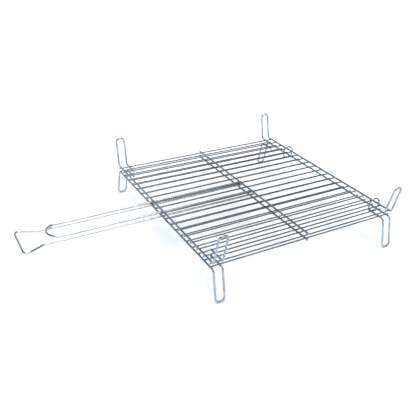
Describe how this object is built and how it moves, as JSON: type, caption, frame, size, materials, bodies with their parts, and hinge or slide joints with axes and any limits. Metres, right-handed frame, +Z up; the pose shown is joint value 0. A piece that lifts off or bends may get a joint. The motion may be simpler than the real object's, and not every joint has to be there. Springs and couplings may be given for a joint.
{
  "type": "double barbecue grate",
  "caption": "Hinged double wire grate on hairpin legs, for clamping flat food over a fire and turning it over, with one long and one short wire handle.",
  "frame": {"origin": "on the ground, below the middle of the grid, with the grate closed and standing on its lower legs", "axes": "+X along the bars from the handles to the hinge rings, +Y across the bars away from the viewer, +Z up"},
  "size_m": [0.7684, 0.504, 0.1507],
  "materials": {
    "frame_wire": "bright zinc plating on drawn steel wire, a little dulled and brushed lengthwise",
    "bar_wire": "bright zinc plating on thin drawn steel wire, a little dulled",
    "handle_wire": "bright zinc plating on thick steel wire, worn smooth where the hand holds it",
    "ring_wire": "zinc plating rubbed where the rings turn on the side wires"
  },
  "bodies": {
    "lower_leaf": {"lower_left_leg_wire": "frame_wire", "lower_right_leg_wire": "frame_wire", "lower_brace": "frame_wire", "long_handle": "handle_wire", "lower_bar_01": "bar_wire", "lower_bar_02": "bar_wire", "lower_bar_03": "bar_wire", "lower_bar_04": "bar_wire", "lower_bar_05": "bar_wire", "lower_bar_06": "bar_wire", "lower_bar_07": "bar_wire", "lower_bar_08": "bar_wire", "lower_bar_09": "bar_wire", "lower_bar_10": "bar_wire", "lower_bar_11": "bar_wire", "lower_bar_12": "bar_wire", "lower_bar_13": "bar_wire", "lower_bar_14": "bar_wire", "lower_bar_15": "bar_wire", "lower_bar_16": "bar_wire", "lower_bar_17": "bar_wire", "lower_bar_18": "bar_wire", "lower_bar_19": "bar_wire"},
    "upper_leaf": {"upper_left_leg_wire": "frame_wire", "upper_right_leg_wire": "frame_wire", "upper_brace": "frame_wire", "short_handle": "handle_wire", "upper_bar_01": "bar_wire", "upper_bar_02": "bar_wire", "upper_bar_03": "bar_wire", "upper_bar_04": "bar_wire", "upper_bar_05": "bar_wire", "upper_bar_06": "bar_wire", "upper_bar_07": "bar_wire", "upper_bar_08": "bar_wire", "upper_bar_09": "bar_wire", "upper_bar_10": "bar_wire", "upper_bar_11": "bar_wire", "upper_bar_12": "bar_wire", "upper_bar_13": "bar_wire", "upper_bar_14": "bar_wire", "upper_bar_15": "bar_wire", "upper_bar_16": "bar_wire", "upper_bar_17": "bar_wire", "upper_bar_18": "bar_wire", "upper_bar_19": "bar_wire"},
    "far_ring": {"far_hinge_ring": "ring_wire"},
    "near_ring": {"near_hinge_ring": "ring_wire"}
  },
  "joints": [
    {"name": "leaf_hinge", "type": "hinge", "parent": "lower_leaf", "child": "upper_leaf", "pos_m": [0.2283, 0, 0.07535], "axis": [0, 1, 0], "range_deg": [0, 180]},
    {"name": "far_ring_turn", "type": "hinge", "parent": "lower_leaf", "child": "far_ring", "pos_m": [0.2268, 0.1441, 0.07335], "axis": [0, 1, 0], "continuous": true},
    {"name": "near_ring_turn", "type": "hinge", "parent": "lower_leaf", "child": "near_ring", "pos_m": [0.2268, -0.1835, 0.07335], "axis": [0, 1, 0], "continuous": true}
  ]
}
